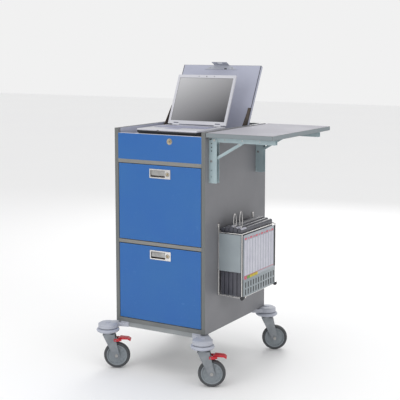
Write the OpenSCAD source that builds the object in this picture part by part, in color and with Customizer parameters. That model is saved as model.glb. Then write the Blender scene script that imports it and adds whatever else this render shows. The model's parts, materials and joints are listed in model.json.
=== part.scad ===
// Medication cart: a panelled cabinet on a castored base, with two deep drawers, a lockable laptop
// compartment under a flip-up lid, a fold-down side shelf and a wire rack for chart binders.
// Millimetres, +Z up, front towards -Y, right side towards +X.

/* [Cabinet] */
// Outer width of the cabinet
cab_w = 500; // [460:10:560]
// Outer depth of the side panels
cab_d = 605; // [590:5:640]
// Height of the side panels
cab_h = 943; // [930:1:980]
// Height of the cabinet's underside above the floor
cab_z = 226; // [222:1:232]
// Thickness of the panels
panel_t = 20; // [18:1:22]

/* [Drawers] */
// Height of the front of each deep drawer
drawer_h = 364; // [350:1:366]
// Depth of the drawer boxes
drawer_depth = 500; // [440:10:520]

/* [Lid] */
// Angle that the lid opens through
lid_open = 117; // [110:1:118]
// Thickness of the lid
lid_t = 18; // [14:1:18]

/* [Shelf] */
// Reach of the side shelf beyond the side panel
shelf_w = 338; // [320:1:345]
// Length of the side shelf from front to back
shelf_d = 630; // [600:5:640]

/* [Casters] */
// Diameter over the tyre
wheel_d = 128; // [120:1:130]
// Distance that a wheel trails behind its swivel
trail = 43; // [36:1:46]
// Angle that the casters point to, from +X towards +Y
caster_yaw = 28; // [0:1:40]

/* [Rack] */
// Distance that the chart rack stands out from the side panel
rack_out = 126; // [110:1:130]
// Length of the chart rack
rack_len = 345; // [320:5:360]

/* [Hidden] */
$fn = 48;
eps = 0.01;
half_w = cab_w / 2;
inner = half_w - panel_t;
floor_z = 779;                                 // underside of the compartment floor above cab_z
comp_z = floor_z + 18;                         // top of the compartment floor
fascia_top = 920;
fascia_t = 18;
front_w = 2 * inner - 6;
drawer_z = [24, 412];                          // undersides of the lower and the upper drawer front
rail_z = 392;
box_w = 2 * inner - 28;
box_h = 250;
lid_half = inner - 4;
lid_pivot = [411, 889];                        // lid pivot: distance behind the front, height above cab_z
lid_front = 391;                               // pivot to the free edge
lid_rear = 57;                                 // pivot to the rear edge
lid_proud = 13;                                // pivot below the lid's inner face
swivel_x = 266;
swivel_y = [-50, 600];
wheel_r = wheel_d / 2;
tyre_shoulder = [wheel_r - 6, 14];             // radius and half width at the tyre's shoulder
bumper_r = 56;
shelf_top = cab_h - 3;
pivot_x = half_w + 28;                         // shelf fold pivot
pivot_z = shelf_top - 34;
bracket_y = [46, 510];
brace_foot = [half_w + 13, 809];
brace_head = [half_w + 165, 897];
brace_len = norm(brace_head - brace_foot);
brace_angle = atan2(brace_head[1] - brace_foot[1], brace_head[0] - brace_foot[0]);
laptop_w = 330;
laptop_d = 276;
laptop_x = 12;
laptop_y = 45;
tray_z = 913;
screen_tilt = 66;                              // screen's angle from the horizontal, opened
screen_foot = [laptop_y + laptop_d - 2, tray_z + 29.8];
handle_x = 6;
handle_z = [349, 737];
lock_r = 12.5;
rack_y = 122;
rack_z = [165, 466];
wheel_y_reach = tyre_shoulder[0] * sin(caster_yaw) + tyre_shoulder[1] * cos(caster_yaw);
shift_x = -((half_w + shelf_w) - (swivel_x + bumper_r)) / 2;
shift_y = -((swivel_y[1] + trail * sin(caster_yaw) + wheel_y_reach) + (swivel_y[0] - bumper_r)) / 2;

// A block between two corners, heights counted from the cabinet's underside.
module block(x, y, z) {
    translate([x[0], y[0], cab_z + z[0]]) cube([x[1] - x[0], y[1] - y[0], z[1] - z[0]]);
}

// Moves the whole cart so that its origin is the bottom centre of its box.
module placed() { translate([shift_x, shift_y, 0]) children(); }

module rod_x(r, x, y, z) { translate([x[0], y, cab_z + z]) rotate([0, 90, 0]) cylinder(r = r, h = x[1] - x[0]); }
module rod_y(r, x, y, z) { translate([x, y[0], cab_z + z]) rotate([-90, 0, 0]) cylinder(r = r, h = y[1] - y[0]); }
module rod_z(r, x, y, z) { translate([x, y, cab_z + z[0]]) cylinder(r = r, h = z[1] - z[0]); }

// ---- Cabinet ----
module left_side_panel() { color("slategray") placed() block([-half_w, -inner], [0, cab_d], [0, cab_h]); }
module right_side_panel() { color("slategray") placed() block([inner, half_w], [0, cab_d], [0, cab_h]); }
module back_panel() { color("slategray") placed() block([-inner, inner], [587, cab_d - 2], [0, cab_h]); }
module bottom_panel() { color("silver") placed() block([-inner, inner], [0, 587], [0, 21]); }
module middle_rail() { color("silver") placed() block([-inner, inner], [0, 60], [rail_z, rail_z + 17]); }
module compartment_floor() { color("silver") placed() block([-inner, inner], [0, 587], [floor_z, comp_z]); }

module front_fascia() {
    color("royalblue") placed() difference() {
        block([-inner, inner], [0.5, fascia_t], [comp_z, fascia_top]);
        rod_y(lock_r + 0.05, 59, [-1, fascia_t + 1], 891);
    }
}

module rear_top_panel() {
    color("silver") placed() translate([-inner, 0, cab_z]) rotate([90, 0, 90])
        linear_extrude(2 * inner)
            polygon([[478, 902], [472, fascia_top], [587, fascia_top], [587, 902]]);
}

// Fixed C-channels of the drawer runners, two to a drawer.
module drawer_runners() {
    color("silver") placed() for (z = drawer_z, s = [-1, 1]) mirror([s < 0 ? 1 : 0, 0, 0]) difference() {
        block([inner - 11, inner], [24, 24 + drawer_depth], [z + 50, z + 90]);
        block([inner - 11 - eps, inner - 3], [24 - eps, 25 + drawer_depth], [z + 55, z + 85]);
    }
}

module base_frame() {
    color("lightgray") placed() {
        block([-180, 180], [4, 44], [-24, 0]);
        block([-180, 180], [550, 590], [-24, 0]);
        for (x = [-215, 175]) block([x, x + 40], [62, 530], [-24, 0]);
    }
}

// Corner castings: a domed pod over each caster, joined to a foot under the corner.
module corner_housings() {
    foot = [[[180, 0], [180, 61], [224, 61], [304, -25], [250, -92], [222, -12]],
            [[180, 594], [180, 531], [224, 531], [306, 575], [260, 645], [222, 604]]];
    color("lightgray") placed() for (sx = [-1, 1], row = [0, 1]) mirror([sx < 0 ? 1 : 0, 0, 0])
        difference() {
            union() {
                translate([0, 0, cab_z - 24]) linear_extrude(18) union() {
                    translate([swivel_x, swivel_y[row]]) circle(r = 47);
                    polygon(foot[row]);
                }
                translate([swivel_x, swivel_y[row], cab_z - 6]) cylinder(r1 = 47, r2 = 38, h = 5.5);
                block([180, 224], row == 0 ? [1, 61] : [531, 593], [-7, 0]);
            }
            translate([swivel_x, swivel_y[row], cab_z - 25]) cylinder(r = 8.1, h = 14);
        }
}

module bumper_rings() {
    color("lightgray") placed() for (sx = [-1, 1], y = swivel_y) translate([sx * swivel_x, y, cab_z - 45]) {
        rotate_extrude()
            polygon([[22, 0], [48, 0], [54, 4], [bumper_r, 9], [54, 14], [48, 18], [22, 18]]);
        for (a = [0, 120, 240]) rotate([0, 0, a]) translate([34, 0, 17]) cylinder(r = 4, h = 4);
    }
}

module lid_hinge_plates() {
    color("dimgray") placed() for (s = [-1, 1]) mirror([s < 0 ? 1 : 0, 0, 0]) {
        block([inner - 3, inner], [lid_pivot[0] - 25, lid_pivot[0] + 25], [lid_pivot[1] - 30, lid_pivot[1] + 30]);
        rod_x(4, [inner - 14, inner - 3], lid_pivot[0], lid_pivot[1]);
        rod_x(7, [inner - 16, inner - 11], lid_pivot[0], lid_pivot[1]);
    }
}

// Upright guides for the laptop tray on the side panels.
module lift_rails() {
    color("silver") placed() for (s = [-1, 1], y = [80, 190]) mirror([s < 0 ? 1 : 0, 0, 0]) difference() {
        block([inner - 9, inner], [y - 10, y + 10], [comp_z + 1, 898]);
        block([inner - 9 - eps, inner - 2], [y - 6, y + 6], [comp_z, 899]);
    }
}

// ---- Shelf brackets: channels that nest when the shelf folds down ----
module bracket_legs() {
    color("lightsteelblue") placed() for (y = bracket_y) difference() {
        union() {
            block([half_w, half_w + 2], [y - 12, y + 12], [708, pivot_z + 12]);
            for (f = [y - 12, y + 10]) translate([0, f + 2, cab_z]) rotate([90, 0, 0]) linear_extrude(2) union() {
                polygon([[half_w + 1, 736], [half_w + 10, 708], [half_w + 41, 708],
                         [half_w + 41, pivot_z], [half_w + 1, pivot_z]]);
                translate([pivot_x, pivot_z]) circle(r = 13);
            }
        }
        for (z = [738, 766]) rod_y(2.5, half_w + 14, [y - 13, y - 9], z);
        rod_y(3, pivot_x, [y - 13, y + 13], pivot_z);
        rod_y(3, brace_foot[0], [y - 13, y + 13], brace_foot[1]);
    }
}

module bracket_pins() {
    color("gray") placed() for (y = bracket_y) {
        rod_y(3, pivot_x, [y - 12.5, y + 12.5], pivot_z);
        rod_y(3, brace_foot[0], [y - 12.5, y + 12.5], brace_foot[1]);
        for (e = [y - 14, y + 12]) {
            rod_y(5.5, pivot_x, [e, e + 2], pivot_z);
            rod_y(5.5, brace_foot[0], [e, e + 2], brace_foot[1]);
        }
    }
}

module bracket_arms() {
    color("lightsteelblue") placed() for (y = bracket_y) difference() {
        union() {
            block([pivot_x - 16, half_w + shelf_w - 3], [y - 9.5, y + 9.5], [shelf_top - 22, shelf_top - 20]);
            for (f = [y - 9.5, y + 7.5])
                block([pivot_x - 12, half_w + shelf_w - 3], [f, f + 2], [shelf_top - 43, shelf_top - 21]);
        }
        rod_y(3.06, pivot_x, [y - 12, y + 12], pivot_z);
    }
}

module shelf_braces() {
    color("lightsteelblue") placed() for (y = bracket_y)
        translate([brace_foot[0], y, cab_z + brace_foot[1]]) rotate([0, -brace_angle, 0]) difference() {
            union() {
                for (f = [-6, 4]) translate([0, f, 0]) {
                    translate([0, 0, -6]) cube([brace_len, 2, 12]);
                    for (x = [0, brace_len]) translate([x, 0, 0]) rotate([-90, 0, 0]) cylinder(r = 6, h = 2);
                }
                translate([8, -5, -6]) cube([brace_len - 16, 10, 2]);
                translate([brace_len, -7, 0]) rotate([-90, 0, 0]) cylinder(r = 3, h = 14);
            }
            translate([0, -8, 0]) rotate([-90, 0, 0]) cylinder(r = 3.06, h = 16);
        }
}

module shelf_board() {
    color("lightgray") placed()
        block([half_w + 2, half_w + shelf_w], [2, 2 + shelf_d], [shelf_top - 20, shelf_top]);
}

// ---- Chart rack ----
module rack_frame() {
    far = rack_y + rack_len;
    out = half_w + rack_out;
    color("gainsboro") placed() {
        for (y = [rack_y, far]) {
            rod_z(2.5, half_w + 3, y, [rack_z[0], rack_z[1] + 40]);
            rod_z(2.5, out, y, [rack_z[0], rack_z[1]]);
            for (z = [rack_z[0], rack_z[1]]) rod_x(2.5, [half_w + 3, out], y, z);
            for (z = rack_z, x = [half_w + 3, out]) translate([x, y, cab_z + z]) sphere(r = 2.5);
            block([half_w, half_w + 3], [y - 7, y + 7], [rack_z[1] + 22, rack_z[1] + 44]);
        }
        for (x = [half_w + 3, out], z = rack_z) rod_y(2.5, x, [rack_y, far], z);
        for (i = [1:4]) rod_y(2, half_w + 3 + i * (rack_out - 3) / 5, [rack_y, far], rack_z[0]);
        for (y = [rack_y + 16, far - 4]) rod_y(7, out + 2, [y, y + 12], rack_z[0] + 1);
    }
}

module rack_end_panel() {
    color("darkgray") placed()
        block([half_w + 7, half_w + rack_out - 4], [rack_y - 4.5, rack_y - 2.5], [rack_z[0] + 120, rack_z[1] - 4]);
}

module rack_index_panel() {
    color("whitesmoke") placed() {
        block([half_w + rack_out + 2.5, half_w + rack_out + 5.5], [rack_y + 8, rack_y + rack_len - 8],
              [rack_z[0] + 85, rack_z[1] - 6]);
    }
}

// Five ring binders standing in the rack, spines upwards.
module chart_binders() {
    pitch = (rack_out - 16) / 5;
    color("dimgray") placed() for (i = [0:4]) {
        x = half_w + 9 + i * pitch;
        top = 490 + 4 * (2 - abs(i - 2));
        translate([x, rack_y + 10, cab_z + rack_z[0] + 3])
            cube([pitch - 3, rack_len - 22, top - rack_z[0] - 13]);
        translate([x + (pitch - 3) / 2, rack_y + 10, cab_z + top - 10]) rotate([-90, 0, 0])
            cylinder(r = (pitch - 3) / 2, h = rack_len - 22);
    }
}

// ---- Locks and drawers ----
module lock_plug(x, z, r, depth) {
    difference() {
        union() {
            rod_y(r, x, [-2.5, depth], z);
            rod_y(r * 0.5, x, [depth - 1, depth + 7], z);
            block([x - r * 0.45, x + r * 0.45], [depth + 5, depth + 7], [z - r * 1.8, z]);
        }
        block([x - 0.9, x + 0.9], [-3, 0], [z - r * 0.5, z + r * 0.5]);
    }
}
module fascia_lock() { color("silver") placed() lock_plug(59, 891, lock_r, fascia_t); }

module drawer_front(i) {
    z = drawer_z[i];
    color("royalblue") placed() difference() {
        block([-front_w / 2, front_w / 2], [0.5, 18], [z, z + drawer_h]);
        block([handle_x - 56, handle_x + 56], [0, 19], [handle_z[i] - 20, handle_z[i] + 20]);
    }
}
module drawer_box(i) {
    z = drawer_z[i] + 12;
    color("lightgray") placed() difference() {
        block([-box_w / 2, box_w / 2], [18, 18 + drawer_depth], [z, z + box_h]);
        block([-box_w / 2 + 2, box_w / 2 - 2], [20, 16 + drawer_depth], [z + 2, z + box_h + 1]);
    }
}
module drawer_slides(i) {
    z = drawer_z[i];
    color("silver") placed() for (s = [-1, 1]) mirror([s < 0 ? 1 : 0, 0, 0]) {
        block([box_w / 2, inner - 4], [24, 22 + drawer_depth], [z + 58, z + 82]);
    }
}
// Flush pull: a flanged frame let into the front, a dished pocket and a bore for the lock.
module handle_frame(i) {
    z = handle_z[i];
    color("silver") placed() difference() {
        union() {
            block([handle_x - 58, handle_x + 58], [-1.8, 0.5], [z - 22, z + 22]);
            block([handle_x - 55, handle_x + 55], [0, 17.5], [z - 19, z + 19]);
        }
        block([handle_x - 52, handle_x + 28], [-3, 15.5], [z - 16, z + 16]);
        rod_y(8.05, handle_x + 42, [-4, 19], z);
    }
}
module handle_flap(i) {
    z = handle_z[i];
    color("dimgray") placed() {
        block([handle_x - 50, handle_x + 26], [2, 4], [z - 9, z + 10]);
        rod_x(3, [handle_x - 51.5, handle_x + 27.5], 4, z + 12);
    }
}
module drawer_lock(i) { color("silver") placed() lock_plug(handle_x + 42, handle_z[i], 8, 17.5); }

module lower_drawer_front() { drawer_front(0); }
module lower_drawer_box() { drawer_box(0); }
module lower_drawer_slides() { drawer_slides(0); }
module lower_handle_frame() { handle_frame(0); }
module lower_handle_flap() { handle_flap(0); }
module lower_drawer_lock() { drawer_lock(0); }
module upper_drawer_front() { drawer_front(1); }
module upper_drawer_box() { drawer_box(1); }
module upper_drawer_slides() { drawer_slides(1); }
module upper_handle_frame() { handle_frame(1); }
module upper_handle_flap() { handle_flap(1); }
module upper_drawer_lock() { drawer_lock(1); }

// ---- Lid: drawn closed about its pivot, then opened ----
// y counts from the pivot towards the rear, so the free edge lies at y = -lid_front.
module lid_block(x, y, z) {
    translate([x[0], y[0], z[0]]) cube([x[1] - x[0], y[1] - y[0], z[1] - z[0]]);
}
module opened() {
    placed() translate([0, lid_pivot[0], cab_z + lid_pivot[1]]) rotate([-lid_open, 0, 0]) children();
}
module lid_panel() {
    color("lightsteelblue") opened() lid_block([-lid_half, lid_half], [-lid_front, lid_rear], [lid_proud, lid_proud + lid_t]);
}
module lid_hinge_arms() {
    color("dimgray") opened() for (s = [-1, 1]) mirror([s < 0 ? 1 : 0, 0, 0]) {
        translate([inner - 8, 0, 0]) rotate([90, 0, 90]) linear_extrude(3) difference() {
            polygon([[18, lid_proud], [18, -26], [0, -33], [-44, -29], [-150, -9], [-158, 9], [-158, lid_proud]]);
            circle(r = 4.06);
        }
        lid_block([inner - 22, inner - 7], [-158, -30], [lid_proud - 2, lid_proud]);
    }
}
module latch_plate() {
    color("gainsboro") opened() {
        translate([0, 0, lid_proud - 2]) linear_extrude(2)
            polygon([[-96, -lid_front + 26], [96, -lid_front + 26], [44, -lid_front], [-44, -lid_front]]);
        difference() {
            lid_block([-44, 44], [-lid_front, -lid_front + 2], [lid_proud - 36, lid_proud]);
            lid_block([-14, 14], [-lid_front - 1, -lid_front + 3], [lid_proud - 30, lid_proud - 22]);
        }
    }
}

// ---- Laptop on its lifting tray ----
module laptop_tray() {
    color("darkgray") placed() {
        difference() {
            block([-196, 196], [30, 350], [tray_z - 10, tray_z]);
            block([-194, 194], [32, 348], [tray_z - 11, tray_z - 2]);
        }
        for (s = [-1, 1]) mirror([s < 0 ? 1 : 0, 0, 0])
            block([190, inner - 10.5], [68, 202], [tray_z - 12, tray_z - 10]);
    }
}
module lift_carriages() {
    color("gray") placed() for (s = [-1, 1], y = [80, 190]) mirror([s < 0 ? 1 : 0, 0, 0]) {
        block([inner - 10.5, inner - 2.4], [y - 5.6, y + 5.6], [tray_z - 54, tray_z - 10]);
    }
}
module laptop_base() {
    x = [laptop_x - laptop_w / 2, laptop_x + laptop_w / 2];
    color("silver") placed() {
        translate([x[0], 0, cab_z]) rotate([90, 0, 90]) linear_extrude(laptop_w)
            polygon([[laptop_y + 14, tray_z + 3], [laptop_y, tray_z + 14], [laptop_y, tray_z + 26],
                     [laptop_y + 4, tray_z + 28], [laptop_y + laptop_d, tray_z + 28],
                     [laptop_y + laptop_d, tray_z + 10], [laptop_y + laptop_d - 10, tray_z + 3]]);
        for (fx = [x[0] + 30, x[1] - 30], fy = [laptop_y + 35, laptop_y + laptop_d - 30])
            rod_z(8, fx, fy, [tray_z, tray_z + 3.5]);
    }
}
module laptop_keys() {
    color("lavender") placed()
        block([laptop_x - 140, laptop_x + 140], [laptop_y + 120, laptop_y + 226], [tray_z + 28, tray_z + 29.4]);
}
// Screen frame: y runs along the screen from its hinge, z out of its back.
module screen_space() {
    placed() translate([laptop_x, screen_foot[0], cab_z + screen_foot[1]]) rotate([screen_tilt, 0, 0]) children();
}
module laptop_screen_housing() {
    color("silver") screen_space() difference() {
        translate([-laptop_w / 2, 4, -8]) cube([laptop_w, 262, 8]);
        translate([-152, 22, -1.5]) cube([304, 228, 3]);
    }
    color("silver") screen_space() for (x = [-130, 106]) translate([x, 0, 0]) {
        rotate([0, 90, 0]) cylinder(r = 1.7, h = 24);
        translate([0, 0, -1.6]) cube([24, 4.5, 1.6]);
    }
}
module laptop_display() {
    color("gray") screen_space() translate([-151.8, 22.2, -1.5]) cube([303.6, 227.6, 0.8]);
}

// ---- Casters: drawn along +X from the swivel, then turned to caster_yaw ----
module caster(sx, row) {
    placed() translate([sx * swivel_x, swivel_y[row], 0]) rotate([0, 0, caster_yaw]) children();
}
module fork(sx, row) {
    color("gray") caster(sx, row) {
        translate([0, 0, cab_z - 34]) cylinder(r = 8, h = 20);
        difference() {
            translate([0, 0, cab_z - 58]) cylinder(r = 21.5, h = 30);
            translate([0, 0, cab_z - 60]) cylinder(r = 12, h = 3);
        }
        translate([-24, -22, cab_z - 62]) cube([56, 44, 5]);
        for (s = [-1, 1]) translate([0, s * 20 + 2, 0]) rotate([90, 0, 0]) linear_extrude(4) difference() {
            union() {
                polygon([[-24, cab_z - 58], [34, cab_z - 58], [trail + 15, wheel_r], [trail - 15, wheel_r - 4]]);
                translate([trail, wheel_r]) circle(r = 15);
            }
        }
        translate([trail, -23, wheel_r]) rotate([-90, 0, 0]) cylinder(r = 5, h = 46);
        if (row == 0) translate([38, -26, cab_z - 84]) rotate([-90, 0, 0]) cylinder(r = 3, h = 52);
    }
}
module wheel(sx, row) {
    color("lightgray") caster(sx, row) translate([trail, 0, wheel_r]) rotate([-90, 0, 0]) rotate_extrude()
        polygon([[5.06, -16], [13, -16], [14, -9], [42, -7], [46, -13], [50, -13], [50, 13], [46, 13],
                 [42, 7], [14, 9], [13, 16], [5.06, 16]]);
}
module tyre(sx, row) {
    color("dimgray") caster(sx, row) translate([trail, 0, wheel_r]) rotate([-90, 0, 0]) rotate_extrude()
        polygon([[50, -13], [tyre_shoulder[0], -tyre_shoulder[1]], [wheel_r - 2, -10], [wheel_r, -4], [wheel_r, 4],
                 [wheel_r - 2, 10], tyre_shoulder, [50, 13]]);
}
module pedal(sx, row) {
    color("crimson") caster(sx, row) {
        translate([0, 0, cab_z - 84]) rotate([90, 0, 0]) translate([0, 0, -17]) linear_extrude(34)
            polygon([[46, 4], [60, 14], [100, 10], [112, 2], [110, -6], [96, 2], [60, 2], [48, -6]]);
        for (s = [-1, 1]) translate([38, s * 24.5 + 1.5, cab_z - 84]) rotate([90, 0, 0]) linear_extrude(3)
            difference() {
                polygon([[-7, -6], [12, -6], [30, -3], [30, 5], [12, 7], [-7, 7]]);
                circle(r = 3.06);
            }
        translate([54, -26, cab_z - 84]) cube([12, 52, 5]);
    }
}
module front_left_fork() { fork(-1, 0); }
module front_left_wheel() { wheel(-1, 0); }
module front_left_tyre() { tyre(-1, 0); }
module front_left_pedal() { pedal(-1, 0); }
module front_right_fork() { fork(1, 0); }
module front_right_wheel() { wheel(1, 0); }
module front_right_tyre() { tyre(1, 0); }
module front_right_pedal() { pedal(1, 0); }
module rear_left_fork() { fork(-1, 1); }
module rear_left_wheel() { wheel(-1, 1); }
module rear_left_tyre() { tyre(-1, 1); }
module rear_right_fork() { fork(1, 1); }
module rear_right_wheel() { wheel(1, 1); }
module rear_right_tyre() { tyre(1, 1); }

left_side_panel();
right_side_panel();
back_panel();
bottom_panel();
middle_rail();
compartment_floor();
front_fascia();
rear_top_panel();
drawer_runners();
base_frame();
corner_housings();
bumper_rings();
lid_hinge_plates();
lift_rails();
bracket_legs();
bracket_pins();
rack_frame();
rack_end_panel();
rack_index_panel();
chart_binders();
fascia_lock();
upper_drawer_front();
upper_drawer_box();
upper_drawer_slides();
upper_handle_frame();
upper_handle_flap();
upper_drawer_lock();
lower_drawer_front();
lower_drawer_box();
lower_drawer_slides();
lower_handle_frame();
lower_handle_flap();
lower_drawer_lock();
lid_panel();
lid_hinge_arms();
latch_plate();
laptop_tray();
lift_carriages();
laptop_base();
laptop_keys();
laptop_screen_housing();
laptop_display();
shelf_board();
bracket_arms();
shelf_braces();
front_left_fork();
front_left_wheel();
front_left_tyre();
front_right_fork();
front_right_wheel();
front_right_tyre();
rear_left_fork();
rear_left_wheel();
rear_left_tyre();
rear_right_fork();
rear_right_wheel();
rear_right_tyre();
front_left_pedal();
front_right_pedal();
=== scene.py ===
"""Medication cart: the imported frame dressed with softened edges, fittings, a laptop and a chart rack."""

import json
import math

import bmesh
import bpy
from mathutils import Matrix, Vector

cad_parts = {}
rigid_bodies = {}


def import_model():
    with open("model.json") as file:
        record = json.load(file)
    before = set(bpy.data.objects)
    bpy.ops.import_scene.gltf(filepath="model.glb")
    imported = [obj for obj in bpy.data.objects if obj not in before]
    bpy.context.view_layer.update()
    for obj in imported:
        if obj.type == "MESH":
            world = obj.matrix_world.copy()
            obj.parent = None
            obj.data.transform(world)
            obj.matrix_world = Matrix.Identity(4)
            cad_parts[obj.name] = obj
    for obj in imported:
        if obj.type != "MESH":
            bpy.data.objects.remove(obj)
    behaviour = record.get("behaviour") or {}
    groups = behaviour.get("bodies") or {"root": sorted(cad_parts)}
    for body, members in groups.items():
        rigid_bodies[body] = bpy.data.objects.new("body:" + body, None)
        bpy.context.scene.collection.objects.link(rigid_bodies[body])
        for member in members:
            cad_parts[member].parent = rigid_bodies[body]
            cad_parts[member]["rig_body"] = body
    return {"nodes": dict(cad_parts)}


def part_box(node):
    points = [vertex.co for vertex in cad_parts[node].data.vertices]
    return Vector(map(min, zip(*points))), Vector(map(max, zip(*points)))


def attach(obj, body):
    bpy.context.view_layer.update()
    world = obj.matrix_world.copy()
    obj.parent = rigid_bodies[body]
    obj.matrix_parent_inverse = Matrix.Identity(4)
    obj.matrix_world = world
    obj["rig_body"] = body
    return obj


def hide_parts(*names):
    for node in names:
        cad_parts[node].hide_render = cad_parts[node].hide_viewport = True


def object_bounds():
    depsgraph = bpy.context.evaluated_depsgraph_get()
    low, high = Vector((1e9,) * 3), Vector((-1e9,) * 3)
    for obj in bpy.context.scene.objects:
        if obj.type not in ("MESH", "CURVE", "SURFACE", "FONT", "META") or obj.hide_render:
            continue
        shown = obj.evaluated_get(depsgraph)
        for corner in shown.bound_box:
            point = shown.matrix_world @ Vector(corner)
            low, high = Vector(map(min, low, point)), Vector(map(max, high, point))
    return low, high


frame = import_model()
cad_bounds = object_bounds()

# ---- The cabinet's own millimetre frame: x from its centre, y from its front, z above its underside ----
MM = 0.001
LEFT_LOW, LEFT_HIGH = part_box("left_side_panel")
RIGHT_LOW, RIGHT_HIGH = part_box("right_side_panel")
CABINET = Vector(((LEFT_LOW.x + RIGHT_HIGH.x) / 2, LEFT_LOW.y, LEFT_LOW.z))
TO_ROW = Matrix.Translation(CABINET) @ Matrix.Scale(MM, 4)
HALF_W = (RIGHT_HIGH.x - LEFT_LOW.x) / 2 / MM
INNER = (RIGHT_LOW.x - LEFT_HIGH.x) / 2 / MM


def span(node):
    """Lowest and highest corner of a CAD node, in cabinet millimetres."""
    low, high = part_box(node)
    return (low - CABINET) / MM, (high - CABINET) / MM


# ---- Hinged spaces, in cabinet millimetres ----
LID_PIVOT = Vector((0, 411, 889))
LID_ANGLE = math.radians(117)
LID_SPACE = Matrix.Translation(LID_PIVOT) @ Matrix.Rotation(-LID_ANGLE, 4, "X")
LAPTOP_X = 12
LAPTOP_Y = 45
LAPTOP_W = 330
LAPTOP_D = 276
TRAY_TOP = 913
SCREEN_SPACE = (
    Matrix.Translation((LAPTOP_X, LAPTOP_Y + LAPTOP_D - 2, TRAY_TOP + 29.8))
    @ Matrix.Rotation(math.radians(66), 4, "X")
)
SWIVEL_X = 266
SWIVEL_Y = {"front": -50, "rear": 600}
CASTER_YAW = math.radians(28)
WHEEL_R = 64
TRAIL = 43
FLOOR = -226
FORK_TOP = 170  # above the floor, under the housing
PEDAL_TOP = 155  # above the floor, where the grips stand
FORK_FACE = 22.2  # from the wheel's middle to a fork leg's outer face
WHEEL_FACE = 8.0  # from the wheel's middle to the face that carries the ribs


def caster_space(side, row):
    """A caster's own space: along +X from the swivel, z above the floor."""
    sign = -1 if side == "left" else 1
    return Matrix.Translation((sign * SWIVEL_X, SWIVEL_Y[row], FLOOR)) @ Matrix.Rotation(CASTER_YAW, 4, "Z")


# ---- Node groups shared by the finishes ----
def socket(tree, name, kind, default=None, output=False):
    """One named socket on a node group."""
    made = tree.interface.new_socket(name=name, in_out="OUTPUT" if output else "INPUT", socket_type=kind)
    if default is not None:
        made.default_value = default
    return made


def math_node(tree, operation, first, second=None):
    """A Math node fed by sockets or numbers; returns its output."""
    node = tree.nodes.new("ShaderNodeMath")
    node.operation = operation
    for index, value in enumerate((first, second)):
        if value is None:
            continue
        if isinstance(value, (int, float)):
            node.inputs[index].default_value = value
        else:
            tree.links.new(value, node.inputs[index])
    return node.outputs[0]


def range_node(tree, value, low, high, to_low, to_high):
    """A clamped Map Range node fed by a socket; the limits are sockets or numbers."""
    node = tree.nodes.new("ShaderNodeMapRange")
    tree.links.new(value, node.inputs["Value"])
    for name, limit in (("From Min", low), ("From Max", high), ("To Min", to_low), ("To Max", to_high)):
        if isinstance(limit, (int, float)):
            node.inputs[name].default_value = limit
        else:
            tree.links.new(limit, node.inputs[name])
    return node.outputs["Result"]


def mix_colour(tree, factor, first, second):
    """A colour Mix node; the colours are sockets or tuples."""
    node = tree.nodes.new("ShaderNodeMix")
    node.data_type = "RGBA"
    tree.links.new(factor, node.inputs["Factor"])
    for name, value in (("A", first), ("B", second)):
        target = next(s for s in node.inputs if s.name == name and s.type == "RGBA")
        if isinstance(value, tuple):
            target.default_value = value
        else:
            tree.links.new(value, target)
    return next(s for s in node.outputs if s.type == "RGBA")


def noise_node(tree, vector, scale, detail):
    """A Noise Texture node; returns its Fac output."""
    node = tree.nodes.new("ShaderNodeTexNoise")
    node.inputs["Detail"].default_value = detail
    tree.links.new(vector, node.inputs["Vector"])
    if isinstance(scale, (int, float)):
        node.inputs["Scale"].default_value = scale
    else:
        tree.links.new(scale, node.inputs["Scale"])
    return node.outputs["Fac"]


def uneven_finish_group():
    """Cloudy tone, fine grain and uneven gloss, as on any handled surface."""
    tree = bpy.data.node_groups.new("uneven_finish", "ShaderNodeTree")
    socket(tree, "Base", "NodeSocketColor")
    socket(tree, "Clouded", "NodeSocketColor")
    socket(tree, "Cloud Scale", "NodeSocketFloat", 6.0)
    socket(tree, "Cloud Strength", "NodeSocketFloat", 0.5)
    socket(tree, "Grain Scale", "NodeSocketFloat", 400.0)
    socket(tree, "Grain Stretch", "NodeSocketVector", (1.0, 1.0, 1.0))
    socket(tree, "Gloss Low", "NodeSocketFloat", 0.3)
    socket(tree, "Gloss High", "NodeSocketFloat", 0.5)
    socket(tree, "Color", "NodeSocketColor", output=True)
    socket(tree, "Roughness", "NodeSocketFloat", output=True)
    socket(tree, "Height", "NodeSocketFloat", output=True)
    given = tree.nodes.new("NodeGroupInput").outputs
    result = tree.nodes.new("NodeGroupOutput").inputs
    place = tree.nodes.new("ShaderNodeTexCoord").outputs["Object"]
    stretched = tree.nodes.new("ShaderNodeVectorMath")
    stretched.operation = "MULTIPLY"
    tree.links.new(place, stretched.inputs[0])
    tree.links.new(given["Grain Stretch"], stretched.inputs[1])
    cloud = noise_node(tree, place, given["Cloud Scale"], 4.0)
    grain = noise_node(tree, stretched.outputs[0], given["Grain Scale"], 2.0)
    clouded = math_node(tree, "MULTIPLY", range_node(tree, cloud, 0.35, 0.68, 0.0, 1.0), given["Cloud Strength"])
    speck = math_node(tree, "MULTIPLY", range_node(tree, grain, 0.3, 0.7, 0.0, 0.3), given["Cloud Strength"])
    tone = mix_colour(tree, math_node(tree, "ADD", clouded, speck), given["Base"], given["Clouded"])
    gloss = math_node(tree, "MULTIPLY", math_node(tree, "ADD", cloud, grain), 0.5)
    tree.links.new(tone, result["Color"])
    tree.links.new(range_node(tree, gloss, 0.35, 0.65, given["Gloss Low"], given["Gloss High"]), result["Roughness"])
    tree.links.new(grain, result["Height"])
    return tree


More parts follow.
